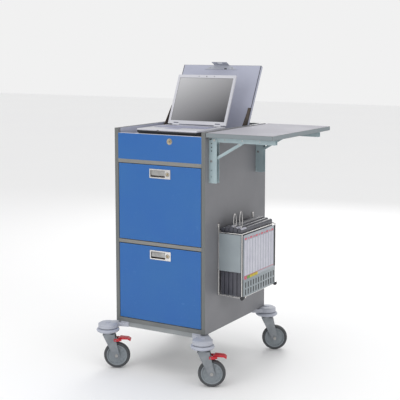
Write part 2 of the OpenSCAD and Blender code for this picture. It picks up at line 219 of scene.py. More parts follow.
def scuffs_group():
    """A mask of short faint rubs that run every way."""
    tree = bpy.data.node_groups.new("scuffs", "ShaderNodeTree")
    socket(tree, "Scale", "NodeSocketFloat", 30.0)
    socket(tree, "Amount", "NodeSocketFloat", 0.3)
    socket(tree, "Mask", "NodeSocketFloat", output=True)
    given = tree.nodes.new("NodeGroupInput").outputs
    result = tree.nodes.new("NodeGroupOutput").inputs
    place = tree.nodes.new("ShaderNodeTexCoord").outputs["Object"]
    rubs = None
    for turn, stretch in ((0.5, (1.0, 9.0, 1.0)), (1.9, (7.0, 1.0, 1.0)), (2.7, (1.0, 1.0, 8.0))):
        turned = tree.nodes.new("ShaderNodeMapping")
        turned.inputs["Rotation"].default_value = (turn, turn * 0.5, turn)
        turned.inputs["Scale"].default_value = stretch
        tree.links.new(place, turned.inputs["Vector"])
        rub = range_node(tree, noise_node(tree, turned.outputs[0], given["Scale"], 3.0), 0.66, 0.74, 0.0, 1.0)
        rubs = rub if rubs is None else math_node(tree, "MAXIMUM", rubs, rub)
    patches = range_node(tree, noise_node(tree, place, 5.0, 2.0), 0.45, 0.6, 0.0, 1.0)
    mask = math_node(tree, "MULTIPLY", math_node(tree, "MULTIPLY", rubs, patches), given["Amount"])
    tree.links.new(mask, result["Mask"])
    return tree


def faces_along_group():
    """A mask of the faces whose normal lies along one axis of the piece."""
    tree = bpy.data.node_groups.new("faces_along", "ShaderNodeTree")
    socket(tree, "Axis", "NodeSocketVector", (0.0, 0.0, 1.0))
    socket(tree, "Mask", "NodeSocketFloat", output=True)
    given = tree.nodes.new("NodeGroupInput").outputs
    result = tree.nodes.new("NodeGroupOutput").inputs
    dot = tree.nodes.new("ShaderNodeVectorMath")
    dot.operation = "DOT_PRODUCT"
    tree.links.new(tree.nodes.new("ShaderNodeTexCoord").outputs["Normal"], dot.inputs[0])
    tree.links.new(given["Axis"], dot.inputs[1])
    tree.links.new(range_node(tree, dot.outputs["Value"], 0.6, 0.8, 0.0, 1.0), result["Mask"])
    return tree


def fade_group():
    """A fade from 0 to 1 along a direction of the piece, in metres."""
    tree = bpy.data.node_groups.new("fade", "ShaderNodeTree")
    socket(tree, "Direction", "NodeSocketVector", (1.0, 0.0, 0.0))
    socket(tree, "Start", "NodeSocketFloat", 0.0)
    socket(tree, "End", "NodeSocketFloat", 1.0)
    socket(tree, "Mask", "NodeSocketFloat", output=True)
    given = tree.nodes.new("NodeGroupInput").outputs
    result = tree.nodes.new("NodeGroupOutput").inputs
    dot = tree.nodes.new("ShaderNodeVectorMath")
    dot.operation = "DOT_PRODUCT"
    tree.links.new(tree.nodes.new("ShaderNodeTexCoord").outputs["Object"], dot.inputs[0])
    tree.links.new(given["Direction"], dot.inputs[1])
    tree.links.new(range_node(tree, dot.outputs["Value"], given["Start"], given["End"], 0.0, 1.0), result["Mask"])
    return tree


UNEVEN_FINISH = uneven_finish_group()
SCUFFS = scuffs_group()
FACES_ALONG = faces_along_group()
FADE = fade_group()


# ---- Finishes ----
def shade(red, green, blue):
    """A screen colour, 0 to 255 a channel, as linear light."""
    channels = [c / 255 for c in (red, green, blue)]
    return tuple(c / 12.92 if c <= 0.04045 else ((c + 0.055) / 1.055) ** 2.4 for c in channels) + (1.0,)


def placed_group(tree, group, **values):
    """A group placed in a material, with its own values."""
    node = tree.nodes.new("ShaderNodeGroup")
    node.node_tree = group
    for name, value in values.items():
        node.inputs[name.replace("_", " ")].default_value = value
    return node.outputs


def finish(name, base, clouded, gloss, metal=0.0, cloud=(6.0, 0.5), grain=(400.0, (1, 1, 1)), bump=0.1,
           depth=0.0002, coat=0.0, specular=0.5, scuff=0.0, scuff_tone=None, tones=(), fading=None):
    """A finish on Principled BSDF. tones lists (axis, colour) for faces of another tone."""
    material = bpy.data.materials.new(name)
    material.use_nodes = True
    tree = material.node_tree
    shader = tree.nodes["Principled BSDF"]
    surface = placed_group(
        tree, UNEVEN_FINISH, Base=base, Clouded=clouded, Cloud_Scale=cloud[0], Cloud_Strength=cloud[1],
        Grain_Scale=grain[0], Grain_Stretch=grain[1], Gloss_Low=gloss[0], Gloss_High=gloss[1])
    colour = surface["Color"]
    rough = surface["Roughness"]
    for axis, tone in tones:
        mask = placed_group(tree, FACES_ALONG, Axis=axis)["Mask"]
        colour = mix_colour(tree, mask, colour, tone)
    if fading:
        direction, start, end, tone = fading
        mask = placed_group(tree, FADE, Direction=direction, Start=start, End=end)["Mask"]
        colour = mix_colour(tree, mask, colour, tone)
    if scuff:
        rubs = placed_group(tree, SCUFFS, Amount=scuff)["Mask"]
        colour = mix_colour(tree, rubs, colour, scuff_tone or clouded)
        rough = math_node(tree, "ADD", rough, math_node(tree, "MULTIPLY", rubs, 0.25))
    tree.links.new(colour, shader.inputs["Base Color"])
    tree.links.new(rough, shader.inputs["Roughness"])
    relief = tree.nodes.new("ShaderNodeBump")
    relief.inputs["Strength"].default_value = bump
    relief.inputs["Distance"].default_value = depth
    tree.links.new(surface["Height"], relief.inputs["Height"])
    tree.links.new(relief.outputs["Normal"], shader.inputs["Normal"])
    shader.inputs["Metallic"].default_value = metal
    shader.inputs["Coat Weight"].default_value = coat
    shader.inputs["Specular IOR Level"].default_value = specular
    return material


LAMINATE = finish(
    "grey_laminate", shade(128, 128, 132), shade(118, 119, 123), (0.38, 0.52), cloud=(5.0, 0.6), bump=0.12,
    tones=[((0, -1, 0), shade(106, 109, 108))], scuff=0.25, scuff_tone=shade(150, 150, 153))
EDGE_BAND = finish(
    "edge_band", shade(112, 115, 115), shade(100, 102, 102), (0.35, 0.5), cloud=(9.0, 0.6), scuff=0.2,
    scuff_tone=shade(175, 175, 175))
RAIL = finish(
    "rail_laminate", shade(134, 133, 129), shade(120, 119, 116), (0.32, 0.48), cloud=(9.0, 0.6), scuff=0.2,
    scuff_tone=shade(170, 168, 165))
WHITE_LINING = finish(
    "compartment_lining", shade(214, 212, 218), shade(196, 195, 203), (0.35, 0.5), cloud=(7.0, 0.5), scuff=0.15,
    scuff_tone=shade(180, 180, 186))
BLUE = finish(
    "blue_laminate", shade(20, 93, 167), shade(30, 99, 165), (0.3, 0.42), cloud=(4.0, 0.7), bump=0.1,
    scuff=0.18, scuff_tone=shade(92, 138, 196), coat=0.06)
# The blue fronts' rounded edges in a lighter blue: partly wear, partly a painted highlight along the edges.
BLUE_EDGE_WEAR_AND_HIGHLIGHT = finish(
    "blue_edge_wear_and_highlight", shade(70, 124, 196), shade(96, 142, 200), (0.28, 0.42), cloud=(30.0, 0.8), bump=0.1)
# Edge faces take an edge band tone; faces towards +X take it a little lighter, painted light. Faces underneath are a
# darker grey.
SHELF_TOP = finish(
    "shelf_laminate", shade(180, 179, 186), shade(170, 169, 177), (0.6, 0.75), cloud=(5.0, 0.6), bump=0.1,
    tones=[((0, -1, 0), shade(134, 142, 146)), ((1, 0, 0), shade(140, 148, 152)), ((0, 1, 0), shade(134, 142, 146)),
           ((0, 0, -1), shade(120, 124, 128))],
    specular=0.15, scuff=0.2, scuff_tone=shade(180, 180, 185))
LID_PAINT = finish(
    "lid_paint", shade(184, 187, 203), shade(172, 175, 193), (0.34, 0.48), cloud=(4.0, 0.7), bump=0.1,
    scuff=0.2, scuff_tone=shade(178, 180, 192))
LID_EDGE = finish(
    "lid_edge", shade(76, 78, 88), shade(98, 100, 110), (0.4, 0.55), cloud=(20.0, 0.7), bump=0.1)
CASTING = finish(
    "cast_cover", shade(182, 185, 195), shade(166, 170, 181), (0.36, 0.5), cloud=(14.0, 0.6),
    grain=(900.0, (1, 1, 1)), bump=0.2, scuff=0.3, scuff_tone=shade(150, 153, 160))
BUMPER = finish(
    "bumper_vinyl", shade(182, 186, 198), shade(164, 168, 180), (0.42, 0.56), cloud=(16.0, 0.6), bump=0.15,
    scuff=0.4, scuff_tone=shade(128, 130, 138))
POWDER_COAT = finish(
    "bracket_powder_coat", shade(166, 184, 188), shade(150, 168, 174), (0.36, 0.5), cloud=(18.0, 0.5),
    grain=(1400.0, (1, 1, 1)), bump=0.35, scuff=0.25, scuff_tone=shade(200, 210, 212))
FRAME_PAINT = finish(
    "frame_paint", shade(150, 154, 156), shade(132, 136, 138), (0.4, 0.55), cloud=(12.0, 0.6), bump=0.2,
    scuff=0.3, scuff_tone=shade(110, 112, 114))
GALVANISED = finish(
    "galvanised_steel", shade(168, 170, 172), shade(136, 139, 142), (0.28, 0.45), metal=1.0, cloud=(40.0, 0.8),
    grain=(300.0, (1, 1, 6)), bump=0.1)
CHROME = finish(
    "bright_chrome", shade(226, 224, 222), shade(196, 194, 192), (0.1, 0.22), metal=1.0, cloud=(25.0, 0.5),
    grain=(500.0, (1, 1, 5)), bump=0.04, scuff=0.2, scuff_tone=shade(150, 148, 146))
LOCK_BRASS = finish(
    "warm_nickel", shade(206, 196, 172), shade(120, 98, 70), (0.15, 0.3), metal=1.0, cloud=(120.0, 0.7), bump=0.05)
SATIN_NICKEL = finish(
    "satin_nickel", shade(178, 178, 176), shade(142, 140, 138), (0.22, 0.36), metal=1.0, cloud=(40.0, 0.7),
    grain=(500.0, (6, 1, 1)), bump=0.08)
DARK_STEEL = finish(
    "dark_steel", shade(96, 84, 74), shade(60, 54, 50), (0.3, 0.48), metal=0.85, cloud=(30.0, 0.8), bump=0.1,
    scuff=0.3, scuff_tone=shade(150, 138, 124))
BLACK = finish(
    "black_plastic", shade(34, 35, 38), shade(46, 47, 52), (0.36, 0.52), cloud=(20.0, 0.6),
    grain=(1200.0, (1, 1, 1)), bump=0.25, scuff=0.25, scuff_tone=shade(78, 79, 84))
SILVER = finish(
    "laptop_silver", shade(212, 212, 218), shade(196, 197, 205), (0.28, 0.4), cloud=(10.0, 0.5),
    grain=(1500.0, (1, 1, 1)), bump=0.08, coat=0.15, scuff=0.15, scuff_tone=shade(170, 171, 178))
KEYCAPS = finish(
    "lavender_keycaps", shade(172, 174, 196), shade(156, 158, 182), (0.4, 0.55), cloud=(60.0, 0.6),
    grain=(1600.0, (1, 1, 1)), bump=0.2)
KEY_WELL = finish(
    "key_well", shade(104, 106, 122), shade(88, 90, 104), (0.45, 0.6), cloud=(40.0, 0.5), bump=0.1)
TREAD = finish(
    "tyre_rubber", shade(62, 65, 68), shade(78, 80, 83), (0.55, 0.75), cloud=(20.0, 0.8),
    grain=(900.0, (1, 1, 1)), bump=0.35, scuff=0.4, scuff_tone=shade(104, 104, 104))
RIM = finish(
    "rim_nylon", shade(140, 147, 152), shade(124, 131, 137), (0.38, 0.52), cloud=(24.0, 0.6), bump=0.15,
    scuff=0.35, scuff_tone=shade(106, 110, 114))
FORK_METAL = finish(
    "fork_zinc", shade(150, 154, 158), shade(122, 127, 132), (0.28, 0.44), metal=0.8, cloud=(26.0, 0.7),
    grain=(400.0, (1, 1, 4)), bump=0.1, scuff=0.2, scuff_tone=shade(190, 192, 195))
RED = finish(
    "brake_red", shade(196, 26, 42), shade(168, 16, 32), (0.3, 0.45), cloud=(30.0, 0.7), bump=0.12, coat=0.2,
    scuff=0.4, scuff_tone=shade(214, 92, 96))
PAPER = finish(
    "index_card", shade(206, 206, 216), shade(190, 190, 203), (0.55, 0.7), cloud=(30.0, 0.6),
    grain=(1500.0, (1, 1, 1)), bump=0.2)
CLEAR_GREY = finish(
    "index_holder", shade(170, 176, 184), shade(150, 156, 166), (0.2, 0.34), cloud=(14.0, 0.6), bump=0.08, coat=0.2)
PANEL_GREY = finish(
    "rack_sheet", shade(150, 159, 164), shade(140, 149, 154), (0.32, 0.46), cloud=(10.0, 0.6), bump=0.1)
BINDER = finish(
    "binder_vinyl", shade(64, 66, 74), shade(86, 86, 96), (0.26, 0.42), cloud=(14.0, 0.8),
    grain=(1100.0, (1, 1, 1)), bump=0.3, coat=0.2, scuff=0.3, scuff_tone=shade(120, 120, 130))
MARK_RED = finish("marker_red", shade(196, 44, 74), shade(214, 120, 138), (0.4, 0.5), cloud=(120.0, 0.8))
MARK_GREEN = finish("marker_green", shade(112, 168, 60), shade(90, 146, 48), (0.4, 0.5), cloud=(120.0, 0.8))
MARK_YELLOW = finish("marker_yellow", shade(206, 188, 40), shade(190, 166, 30), (0.4, 0.5), cloud=(120.0, 0.8))


def display_painted_sheen():
    """The screen: a painted sheen, a grey reflection light at the upper left and dark at the lower right."""
    low, high = span("laptop_display")
    row_low = TO_ROW @ low
    row_high = TO_ROW @ high
    slant = Vector((0.5, 0, -0.87))
    start = slant.dot(Vector((row_low.x, 0, row_high.z)))
    end = slant.dot(Vector((row_high.x, 0, row_low.z)))
    # The fade paints the screen's reflection: pale grey at the upper left to near black at the lower right.
    return finish(
        "display_painted_sheen", shade(200, 200, 202), shade(192, 192, 195), (0.2, 0.28), cloud=(4.0, 0.4), bump=0.02,
        coat=0.4, fading=(tuple(slant), start, end, shade(28, 27, 36)))


PAINTED_SCREEN_SHEEN = display_painted_sheen()


# ---- Mesh making, in cabinet millimetres ----
MADE_CREASE = math.radians(35)  # sharper edges of made pieces stay sharp
CAD_CREASE = math.radians(40)  # the same for CAD parts, and where their corners are rounded
FLAT_WITHIN = math.radians(0.5)
WELD = 1e-5  # metres


def mesh_from(bm, name, material):
    """A finished mesh from a bmesh, with outward normals and smooth shading up to the crease angle."""
    bmesh.ops.recalc_face_normals(bm, faces=bm.faces)
    mesh = bpy.data.meshes.new(name)
    bm.to_mesh(mesh)
    bm.free()
    mesh.materials.append(material)
    mesh.polygons.foreach_set("use_smooth", [True] * len(mesh.polygons))
    mesh.set_sharp_from_angle(angle=MADE_CREASE)
    return mesh


def slab(low, high, material, radius=0.0, segments=2):
    """A block between two corners with rounded edges."""
    bm = bmesh.new()
    bmesh.ops.create_cube(bm, size=1)
    low, high = Vector(low), Vector(high)
    size = high - low
    place = Matrix.Translation((low + high) / 2) @ Matrix.Diagonal((*size, 1))
    bmesh.ops.transform(bm, verts=bm.verts, matrix=place)
    if radius:
        width = min(radius, min(size) * 0.48)
        bmesh.ops.bevel(bm, geom=bm.edges[:], offset=width, segments=segments, affect="EDGES", profile=0.5)
    return mesh_from(bm, "slab", material)


def prism(outline, x_low, x_high, material, radius=0.0):
    """An outline of (y, z) points drawn out along X, with rounded edges."""
    bm = bmesh.new()
    face = bm.faces.new([bm.verts.new((x_low, y, z)) for y, z in outline])
    drawn = bmesh.ops.extrude_face_region(bm, geom=[face])["geom"]
    moved = [v for v in drawn if isinstance(v, bmesh.types.BMVert)]
    bmesh.ops.translate(bm, verts=moved, vec=(x_high - x_low, 0, 0))
    if radius:
        bmesh.ops.bevel(bm, geom=bm.edges[:], offset=radius, segments=2, affect="EDGES", profile=0.5)
    return mesh_from(bm, "prism", material)


def turned(profile, material, sides=32):
    """A closed profile of (radius, height) points turned about Z."""
    bm = bmesh.new()
    steps = [2 * math.pi * i / sides for i in range(sides)]
    rings = []
    for radius, height in profile:
        if radius < 1e-6:
            rings.append([bm.verts.new((0, 0, height))])
            continue
        rings.append([bm.verts.new((radius * math.cos(a), radius * math.sin(a), height)) for a in steps])
    for first, second in zip(rings, rings[1:]):
        for i in range(sides):
            after = (i + 1) % sides
            loop = [first[i], first[after]] if len(first) > 1 else [first[0]]
            loop += [second[after], second[i]] if len(second) > 1 else [second[0]]
            if len(loop) > 2:
                bm.faces.new(loop)
    return mesh_from(bm, "turned", material)


def dome_head(radius, height, material, sides=16):
    """A domed rivet or screw head that stands on z = 0 and closes below it."""
    profile = [(0, -0.4), (radius, -0.4), (radius, height * 0.35)]
    profile += [(radius * math.cos(a), height * (0.35 + 0.65 * math.sin(a))) for a in (0.5, 1.0)]
    return turned(profile + [(0, height)], material, sides)


def swept(route, radius, material, sides=10, closed=False):
    """A round rod along a route of points."""
    bm = bmesh.new()
    points = [Vector(p) for p in route]
    count = len(points)
    steps = [2 * math.pi * k / sides for k in range(sides)]
    rings = []
    for i, point in enumerate(points):
        ahead = points[(i + 1) % count] if closed or i < count - 1 else point
        behind = points[i - 1] if closed or i else point
        along = (ahead - behind).normalized()
        guide = Vector((0, 1, 0)) if abs(along.y) < 0.9 else Vector((0, 0, 1))
        side = along.cross(guide).normalized()
        rise = side.cross(along)
        rings.append([bm.verts.new(point + radius * (side * math.cos(a) + rise * math.sin(a))) for a in steps])
    pairs = list(zip(rings, rings[1:])) + ([(rings[-1], rings[0])] if closed else [])
    for first, second in pairs:
        for k in range(sides):
            bm.faces.new([first[k], first[(k + 1) % sides], second[(k + 1) % sides], second[k]])
    if not closed:
        bm.faces.new(rings[0])
        bm.faces.new(rings[-1])
    return mesh_from(bm, "swept", material)


def moved(mesh, matrix):
    """The mesh after a move or turn."""
    mesh.transform(matrix)
    return mesh


def facing(direction, place=(0, 0, 0)):
    """Stands a +Z piece on a place so that it points along a direction."""
    return Matrix.Translation(place) @ Vector(direction).to_track_quat("Z", "Y").to_matrix().to_4x4()


def joined(meshes, name):
    """Several meshes as one, their materials kept."""
    materials = []
    bm = bmesh.new()
    for mesh in meshes:
        first = len(bm.faces)
        bm.from_mesh(mesh)
        bm.faces.ensure_lookup_table()
        for face in bm.faces[first:]:
            material = mesh.materials[face.material_index]
            if material not in materials:
                materials.append(material)
            face.material_index = materials.index(material)
    whole = bpy.data.meshes.new(name)
    bm.to_mesh(whole)
    bm.free()
    for material in materials:
        whole.materials.append(material)
    for mesh in meshes:
        bpy.data.meshes.remove(mesh)
    return whole


def settled(name, meshes, body, space=Matrix.Identity(4), replaces=()):
    """A finished piece in the row frame, riding on its body."""
    mesh = joined(meshes, name)
    mesh.transform(TO_ROW @ space)
    piece = bpy.data.objects.new(name, mesh)
    bpy.context.scene.collection.objects.link(piece)
    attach(piece, body)
    if replaces:
        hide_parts(*replaces)
    return piece


# ---- Repeats ----
def repeat_tree():
    """Geometry Nodes: the unit piece set out on a grid, each copy turned a further step."""
    tree = bpy.data.node_groups.new("set_out_on_grid", "GeometryNodeTree")
    socket(tree, "Geometry", "NodeSocketGeometry")
    socket(tree, "Columns", "NodeSocketInt", 1)
    socket(tree, "Rows", "NodeSocketInt", 1)
    socket(tree, "Start", "NodeSocketVector")
    socket(tree, "Across", "NodeSocketVector")
    socket(tree, "Up", "NodeSocketVector")
    socket(tree, "Turn", "NodeSocketVector")
    socket(tree, "Material", "NodeSocketMaterial")
    socket(tree, "Geometry", "NodeSocketGeometry", output=True)
    given = tree.nodes.new("NodeGroupInput").outputs
    result = tree.nodes.new("NodeGroupOutput").inputs
    index = tree.nodes.new("GeometryNodeInputIndex").outputs[0]

    def scaled(vector, factor):
        node = tree.nodes.new("ShaderNodeVectorMath")
        node.operation = "SCALE"
        tree.links.new(vector, node.inputs[0])
        tree.links.new(factor, node.inputs["Scale"])
        return node.outputs[0]

    def added(first, second):
        node = tree.nodes.new("ShaderNodeVectorMath")
        node.operation = "ADD"
        tree.links.new(first, node.inputs[0])
        tree.links.new(second, node.inputs[1])
        return node.outputs[0]

    column = math_node(tree, "MODULO", index, given["Columns"])
    row = math_node(tree, "FLOOR", math_node(tree, "DIVIDE", index, given["Columns"]))
    points = tree.nodes.new("GeometryNodePoints")
    tree.links.new(math_node(tree, "MULTIPLY", given["Columns"], given["Rows"]), points.inputs["Count"])
    offset = added(scaled(given["Across"], column), scaled(given["Up"], row))
    tree.links.new(added(given["Start"], offset), points.inputs["Position"])
    copies = tree.nodes.new("GeometryNodeInstanceOnPoints")
    tree.links.new(points.outputs[0], copies.inputs["Points"])
    tree.links.new(given["Geometry"], copies.inputs["Instance"])
    tree.links.new(scaled(given["Turn"], index), copies.inputs["Rotation"])
    real = tree.nodes.new("GeometryNodeRealizeInstances")
    tree.links.new(copies.outputs[0], real.inputs[0])
    painted = tree.nodes.new("GeometryNodeSetMaterial")
    tree.links.new(real.outputs[0], painted.inputs["Geometry"])
    tree.links.new(given["Material"], painted.inputs["Material"])
    tree.links.new(painted.outputs[0], result["Geometry"])
    return tree


REPEAT = repeat_tree()
REPEAT_INPUTS = {
    item.name: item.identifier
    for item in REPEAT.interface.items_tree
    if item.item_type == "SOCKET" and item.in_out == "INPUT"
}


def repeated(unit, columns, start, across, rows=1, up=(0, 0, 0), turn=(0, 0, 0)):
    """Copies of the unit mesh on a grid, as one plain mesh."""
    source = bpy.data.objects.new("unit", unit)
    bpy.context.scene.collection.objects.link(source)
    grid = source.modifiers.new("grid", "NODES")
    grid.node_group = REPEAT
    values = {"Columns": columns, "Rows": rows, "Material": unit.materials[0]}
    for name, vector in (("Start", start), ("Across", across), ("Up", up), ("Turn", turn)):
        values[name] = tuple(float(v) for v in vector)
    for name, value in values.items():
        grid[REPEAT_INPUTS[name]] = value
    source.update_tag()
    graph = bpy.context.evaluated_depsgraph_get()
    mesh = bpy.data.meshes.new_from_object(source.evaluated_get(graph))
    source.modifiers.clear()
    bpy.data.objects.remove(source)
    bpy.data.meshes.remove(unit)
    return mesh


# ---- CAD parts carried over ----
def evaluated(piece):
    """The mesh of a piece after its modifiers."""
    graph = bpy.context.evaluated_depsgraph_get()
    return bpy.data.meshes.new_from_object(piece.evaluated_get(graph))


def softened(node, material, edge_material=None, radius=0.8, segments=2):
    """A CAD part with its corners rounded over; the rounded strips may take a second finish: edge band on the panels
    and shelves, a dark edge on the lid, and wear with a painted highlight on the blue fronts.
    """
    source = frame["nodes"][node]
    bm = bmesh.new()
    bm.from_mesh(source.data)
    bmesh.ops.remove_doubles(bm, verts=bm.verts, dist=WELD)
    bmesh.ops.dissolve_limit(bm, angle_limit=FLAT_WITHIN, verts=bm.verts, edges=bm.edges)
    mesh = bpy.data.meshes.new(node)
    bm.to_mesh(mesh)
    bm.free()
    mesh.materials.append(material)
    if edge_material:
        mesh.materials.append(edge_material)
    for layer in ("custom_normal", "sharp_face", "sharp_edge", "material_index"):
        if mesh.attributes.get(layer):
            mesh.attributes.remove(mesh.attributes[layer])
    piece = bpy.data.objects.new(f"{node}_shell", mesh)
    bpy.context.scene.collection.objects.link(piece)
    if radius:
        rounding = piece.modifiers.new("rounding", "BEVEL")
        rounding.width = radius * MM
        rounding.segments = segments
        rounding.limit_method = "ANGLE"
        rounding.angle_limit = CAD_CREASE
        rounding.material = 1 if edge_material else -1
        mesh = evaluated(piece)
        piece.modifiers.clear()
        piece.data = mesh
    mesh.polygons.foreach_set("use_smooth", [True] * len(mesh.polygons))
    mesh.set_sharp_from_angle(angle=CAD_CREASE)
    weighting = piece.modifiers.new("weighting", "WEIGHTED_NORMAL")
    weighting.keep_sharp = True
    piece.data = evaluated(piece)
    piece.modifiers.clear()
    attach(piece, source["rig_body"])
    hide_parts(node)
    return piece


def carried(node, material):
    """A CAD part shown as it is, with its finish."""
    mesh = frame["nodes"][node].data
    mesh.materials.clear()
    mesh.materials.append(material)


# ---- Cabinet ----
def make_cabinet():
    """The panels, rail, fascia, base, housings and the metalwork inside."""
    for node in ("left_side_panel", "right_side_panel"):
        softened(node, LAMINATE, EDGE_BAND, 0.8)
    softened("back_panel", LAMINATE, None, 0.6)
    softened("bottom_panel", EDGE_BAND, None, 0.6)
    softened("middle_rail", RAIL, None, 0.6)
    softened("compartment_floor", RAIL, None, 0.6)
    softened("front_fascia", BLUE, BLUE_EDGE_WEAR_AND_HIGHLIGHT, 0.7)
    softened("rear_top_panel", SHELF_TOP, EDGE_BAND, 0.8)
    softened("base_frame", FRAME_PAINT, None, 2.0)
    softened("corner_housings", CASTING, None, 2.4, 3)
    softened("bumper_rings", BUMPER, None, 1.0)
    softened("drawer_runners", GALVANISED, None, 0.3, 1)
    softened("lift_rails", GALVANISED, None, 0.3, 1)
    softened("lid_hinge_plates", DARK_STEEL, None, 0.6)
    softened("fascia_lock", LOCK_BRASS, None, 0.5)


def make_cabinet_fittings():
    """A pale strip on the fascia's top edge, a painted highlight; a ring round its lock and screws in the back panel.
    """
    low, high = span("front_fascia")
    # A pale silver strip along the fascia's top edge: a painted highlight.
    highlight_strip = slab((low.x, low.y + 0.4, high.z - 0.3), (high.x, high.y - 0.4, high.z + 0.9), SILVER, 0.5)
    settled("fascia_top_highlight", [highlight_strip], "cabinet")
    back_face = 603.4
    from_edge = 14
    screw = dome_head(3.6, 1.6, GALVANISED)
    back_screws = repeated(
        moved(screw, facing((0, 1, 0))), 2, (-INNER + from_edge, back_face, 60), (2 * (INNER - from_edge), 0, 0),
        5, (0, 0, 205))
    settled("back_panel_screws", [back_screws], "cabinet")
    rosette = turned(
        [(12.6, -0.2), (15.2, -0.2), (15.2, 0.9), (14.2, 1.6), (12.6, 1.6), (12.6, -0.2)], SATIN_NICKEL)
    settled("fascia_lock_rosette", [moved(rosette, facing((0, -1, 0), (59, 0.5, 891)))], "cabinet")


def make_compartment_lining():
    """Pale lining on the compartment's sides and floor, and a black slot on the fascia lock, painted shade in its
    keyhole.
    """
    floor_high = span("compartment_floor")[1]
    plates = []
    for side in (-1, 1):
        edges = sorted((side * (INNER - 0.6), side * (INNER + 0.2)))
        plates.append(slab((edges[0], 20, 900), (edges[1], floor_high.y - 118, 942), LID_PAINT, 0.2))
    plates.append(slab((-INNER + 1, 20, floor_high.z - 0.2), (INNER - 1, 470, floor_high.z + 0.6), WHITE_LINING, 0.2))
    settled("compartment_lining", plates, "cabinet")
    # A black slab on the lock's face: painted shade in the keyhole.
    keyhole_shade = slab((57.8, -2.9, 885), (60.2, -2.3, 897), BLACK, 0.2)
    settled("fascia_keyhole_shade", [keyhole_shade], "lid_lock")


def make_housing_fittings():
    """Screws and a cap on each corner housing."""
    parts = []
    for side in (-1, 1):
        for row in SWIVEL_Y.values():
            inward = 1 if row < 0 else -1
            screw = dome_head(4.2, 2.0, SATIN_NICKEL)
            parts.append(
                repeated(screw, 2, (side * 238, row + inward * 22, -6.2), (side * 34, inward * 6, 0)))
            cap = turned([(0, -1), (13, -1), (13, 1.6), (11, 3.2), (0, 3.8)], BUMPER)
            parts.append(moved(cap, Matrix.Translation((side * SWIVEL_X, row, -0.5))))
    settled("housing_screws", parts, "cabinet")


# ---- Drawers ----
def make_drawer(level, lock_x=48):
    """One drawer's front, box, slides, handle and lock, with their fixings."""
    softened(f"{level}_drawer_front", BLUE, BLUE_EDGE_WEAR_AND_HIGHLIGHT, 0.9)
    softened(f"{level}_drawer_box", WHITE_LINING, None, 0.5, 1)
    softened(f"{level}_drawer_slides", GALVANISED, None, 0.4, 1)
    softened(f"{level}_handle_frame", CHROME, None, 1.1, 3)
    softened(f"{level}_handle_flap", SATIN_NICKEL, None, 0.8)
    softened(f"{level}_drawer_lock", LOCK_BRASS, None, 0.4)
    low, high = span(f"{level}_handle_frame")
    middle = (low.z + high.z) / 2
    ring = turned([(8.2, -0.4), (11.2, -0.4), (11.2, 0.5), (10.2, 1.2), (8.2, 1.2), (8.2, -0.4)], SATIN_NICKEL)
    settled(f"{level}_lock_ring", [moved(ring, facing((0, -1, 0), (lock_x, low.y, middle)))],
            f"{level}_drawer")
    # A dark steel sheet at the back of the handle's recess: painted shade in the recess.
    recess_shade = slab((low.x + 6.5, 14.6, low.z + 6.5), (lock_x - 14.5, 15.4, high.z - 6.5), DARK_STEEL, 0.3)
    settled(f"{level}_handle_recess_shade", [recess_shade], f"{level}_drawer")
    box_low = span(f"{level}_drawer_box")[0]
    screw = dome_head(3.4, 1.4, GALVANISED)
    screws = repeated(
        moved(screw, facing((0, 1, 0))), 2, (-160, 20.4, box_low.z + 60), (320, 0, 0), 2, (0, 0, 130))
    settled(f"{level}_front_fixings", [screws], f"{level}_drawer")


# ---- Lid ----
def make_lid():
    """The lid with its arms, latch plate, rivets and dark edge bands."""
    softened("lid_panel", LID_PAINT, LID_EDGE, 1.6)
    softened("lid_hinge_arms", DARK_STEEL, None, 0.5)
    softened("latch_plate", CASTING, None, 0.4, 1)
    rivets = []
    for side in (-1, 1):
        rivet = moved(dome_head(2.6, 1.2, SATIN_NICKEL), facing((0, 0, -1)))
        rivets.append(repeated(rivet, 4, (side * (INNER - 14), -148, 11.2), (0, 34, 0)))
    # A black slab on the latch plate: painted shade in its slot.
    slot = slab((20, -372, 10.4), (34, -366, 11.2), BLACK, 0.3)
    screws = repeated(moved(dome_head(3.0, 1.0, SATIN_NICKEL), facing((0, 0, -1))), 2, (-64, -374, 11), (128, 0, 0))
    settled("lid_rivets", rivets + [slot, screws], "lid", LID_SPACE)
    band = []
    for side in (-1, 1):
        edges = sorted((side * 222, side * 225.9))
        band.append(slab((edges[0], -390, 12.6), (edges[1], 56, 13.4), LID_EDGE, 0.3))
    settled("lid_edge_bands", band, "lid", LID_SPACE)


# ---- Laptop ----
DECK = TRAY_TOP + 28


def make_laptop_base():
    """The laptop's lower case, upper case and feet."""
    left, right = LAPTOP_X - LAPTOP_W / 2, LAPTOP_X + LAPTOP_W / 2
    back = LAPTOP_Y + LAPTOP_D
    split = TRAY_TOP + 20
    lower = prism(
        [(LAPTOP_Y + 14, TRAY_TOP + 3), (LAPTOP_Y + 1, TRAY_TOP + 13), (LAPTOP_Y + 1, split), (back - 1, split),
         (back - 1, TRAY_TOP + 10), (back - 10, TRAY_TOP + 3)], left + 1, right - 1, BLACK, 0.8)
    upper = prism(
        [(LAPTOP_Y, split), (LAPTOP_Y, DECK - 3), (LAPTOP_Y + 4, DECK), (back, DECK), (back, split)],
        left, right, SILVER, 1.0)
    feet = repeated(
        slab((-9, -6, 0), (9, 6, 3.4), BLACK, 1.4), 2, (left + 30, LAPTOP_Y + 35, TRAY_TOP),
        (LAPTOP_W - 60, 0, 0), 2, (0, LAPTOP_D - 65, 0))
    settled("laptop_body", [lower, upper, feet], "tray", replaces=["laptop_base"])


